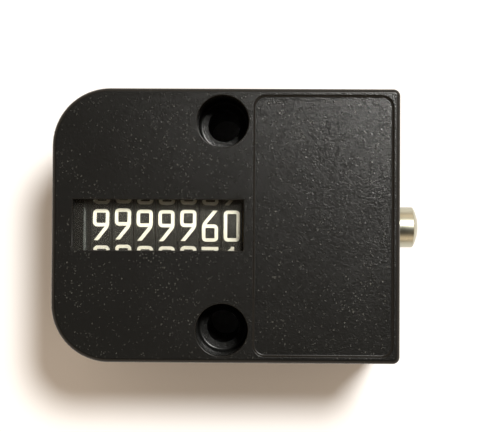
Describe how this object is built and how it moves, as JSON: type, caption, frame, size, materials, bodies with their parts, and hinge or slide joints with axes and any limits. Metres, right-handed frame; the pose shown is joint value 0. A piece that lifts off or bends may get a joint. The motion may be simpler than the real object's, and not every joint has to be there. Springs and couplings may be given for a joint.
{
  "type": "mechanical stroke counter",
  "caption": "Flat black mechanical counter with a row of number wheels behind a window, a side plunger and two counterbored holes for fastening it to a machine or mould.",
  "frame": {"origin": "on the flat back face, midway between the two mounting holes", "axes": "+X along the body towards the plunger, +Y up across the figures and along the line of the two holes, +Z out of the front face with the window"},
  "size_m": [0.0648, 0.0474, 0.028],
  "materials": {
    "housing_nylon": "black glass-filled nylon moulded against a spark-eroded tool: matt, with fine bright grain",
    "cover_nylon": "black glass-filled nylon, smoother than the housing",
    "lens_polycarbonate": "clear polycarbonate with a faint olive haze",
    "zinc_screw": "zinc-plated steel",
    "frame_steel": "stamped sheet steel, zinc plated",
    "ground_steel": "ground steel rod",
    "spring_steel": "hard-drawn spring steel",
    "white_acetal": "natural acetal, moulded",
    "pinion_acetal": "ivory acetal, moulded",
    "wheel_acetal": "black acetal with hot-stamped white figures",
    "brass": "turned brass",
    "rivet_steel": "plain steel rivet",
    "rocker_steel": "sintered steel",
    "plunger_steel": "turned steel, nickel plated"
  },
  "bodies": {
    "case": {"housing": "housing_nylon", "rear_cover": "cover_nylon", "window_lens": "lens_polycarbonate", "cover_screws": "zinc_screw", "counter_frame": "frame_steel", "frame_screws": "zinc_screw", "wheel_axle": "ground_steel", "axle_clips": "spring_steel", "end_spacer": "white_acetal", "carrier_1": "white_acetal", "carrier_2": "white_acetal", "carrier_3": "white_acetal", "carrier_4": "white_acetal", "carrier_5": "white_acetal", "carrier_6": "white_acetal", "unit_bush": "white_acetal", "holding_spring": "spring_steel", "holding_rivet": "rivet_steel", "rocker_pin": "ground_steel", "rocker_clip": "spring_steel", "plunger_bush": "brass", "plunger_guide": "white_acetal", "plunger_spring": "spring_steel"},
    "plunger": {"plunger": "plunger_steel"},
    "rocker": {"rocker": "rocker_steel", "pawl_rivet": "rivet_steel"},
    "pawl": {"drive_pawl": "spring_steel"},
    "wheel_1": {"number_wheel_1": "wheel_acetal"},
    "wheel_2": {"number_wheel_2": "wheel_acetal"},
    "wheel_3": {"number_wheel_3": "wheel_acetal"},
    "wheel_4": {"number_wheel_4": "wheel_acetal"},
    "wheel_5": {"number_wheel_5": "wheel_acetal"},
    "wheel_6": {"number_wheel_6": "wheel_acetal"},
    "units": {"number_wheel_7": "wheel_acetal", "ratchet_wheel": "brass"},
    "gear_1": {"pinion_1": "pinion_acetal"},
    "gear_2": {"pinion_2": "pinion_acetal"},
    "gear_3": {"pinion_3": "pinion_acetal"},
    "gear_4": {"pinion_4": "pinion_acetal"},
    "gear_5": {"pinion_5": "pinion_acetal"},
    "gear_6": {"pinion_6": "pinion_acetal"}
  },
  "joints": [
    {"name": "plunger_slide", "type": "slide", "parent": "case", "child": "plunger", "axis": [1, 0, 0], "range_m": [-0.0044, 0], "stiffness_N_per_m": 1000, "springref_m": 0.003, "deforming": ["plunger_spring"]},
    {"name": "rocker_hinge", "type": "hinge", "parent": "case", "child": "rocker", "pos_m": [0.01096, -0.00988, 0.0139], "axis": [0, 0, 1], "range_deg": [0, 25.3]},
    {"name": "pawl_hinge", "type": "hinge", "parent": "rocker", "child": "pawl", "pos_m": [0.00491, -0.00853, 0.0081], "axis": [0, 0, 1], "range_deg": [-25.3, 0]},
    {"name": "wheel_1_turn", "type": "hinge", "parent": "case", "child": "wheel_1", "pos_m": [-0.02133, 0, 0.0139], "axis": [1, 0, 0], "continuous": true},
    {"name": "wheel_2_turn", "type": "hinge", "parent": "case", "child": "wheel_2", "pos_m": [-0.01751, 0, 0.0139], "axis": [1, 0, 0], "continuous": true},
    {"name": "wheel_3_turn", "type": "hinge", "parent": "case", "child": "wheel_3", "pos_m": [-0.01369, 0, 0.0139], "axis": [1, 0, 0], "continuous": true},
    {"name": "wheel_4_turn", "type": "hinge", "parent": "case", "child": "wheel_4", "pos_m": [-0.00987, 0, 0.0139], "axis": [1, 0, 0], "continuous": true},
    {"name": "wheel_5_turn", "type": "hinge", "parent": "case", "child": "wheel_5", "pos_m": [-0.00605, 0, 0.0139], "axis": [1, 0, 0], "continuous": true},
    {"name": "wheel_6_turn", "type": "hinge", "parent": "case", "child": "wheel_6", "pos_m": [-0.00223, 0, 0.0139], "axis": [1, 0, 0], "continuous": true},
    {"name": "wheel_7_turn", "type": "hinge", "parent": "case", "child": "units", "pos_m": [0.00159, 0, 0.0139], "axis": [1, 0, 0], "continuous": true},
    {"name": "pinion_1_turn", "type": "hinge", "parent": "case", "child": "gear_1", "pos_m": [-0.02003, 0, 0.00781], "axis": [1, 0, 0], "continuous": true},
    {"name": "pinion_2_turn", "type": "hinge", "parent": "case", "child": "gear_2", "pos_m": [-0.01621, 0, 0.00781], "axis": [1, 0, 0], "continuous": true},
    {"name": "pinion_3_turn", "type": "hinge", "parent": "case", "child": "gear_3", "pos_m": [-0.01239, 0, 0.00781], "axis": [1, 0, 0], "continuous": true},
    {"name": "pinion_4_turn", "type": "hinge", "parent": "case", "child": "gear_4", "pos_m": [-0.00857, 0, 0.00781], "axis": [1, 0, 0], "continuous": true},
    {"name": "pinion_5_turn", "type": "hinge", "parent": "case", "child": "gear_5", "pos_m": [-0.00475, 0, 0.00781], "axis": [1, 0, 0], "continuous": true},
    {"name": "pinion_6_turn", "type": "hinge", "parent": "case", "child": "gear_6", "pos_m": [-0.00093, 0, 0.00781], "axis": [1, 0, 0], "continuous": true}
  ],
  "couplings": [
    {"joint": "rocker_hinge", "follows": "plunger_slide", "rad_per_m": -100},
    {"joint": "pawl_hinge", "follows": "plunger_slide", "rad_per_m": 100},
    {"joint": "pinion_1_turn", "follows": "wheel_1_turn", "ratio": 3.3333},
    {"joint": "pinion_2_turn", "follows": "wheel_2_turn", "ratio": 3.3333},
    {"joint": "pinion_3_turn", "follows": "wheel_3_turn", "ratio": 3.3333},
    {"joint": "pinion_4_turn", "follows": "wheel_4_turn", "ratio": 3.3333},
    {"joint": "pinion_5_turn", "follows": "wheel_5_turn", "ratio": 3.3333},
    {"joint": "pinion_6_turn", "follows": "wheel_6_turn", "ratio": 3.3333}
  ]
}
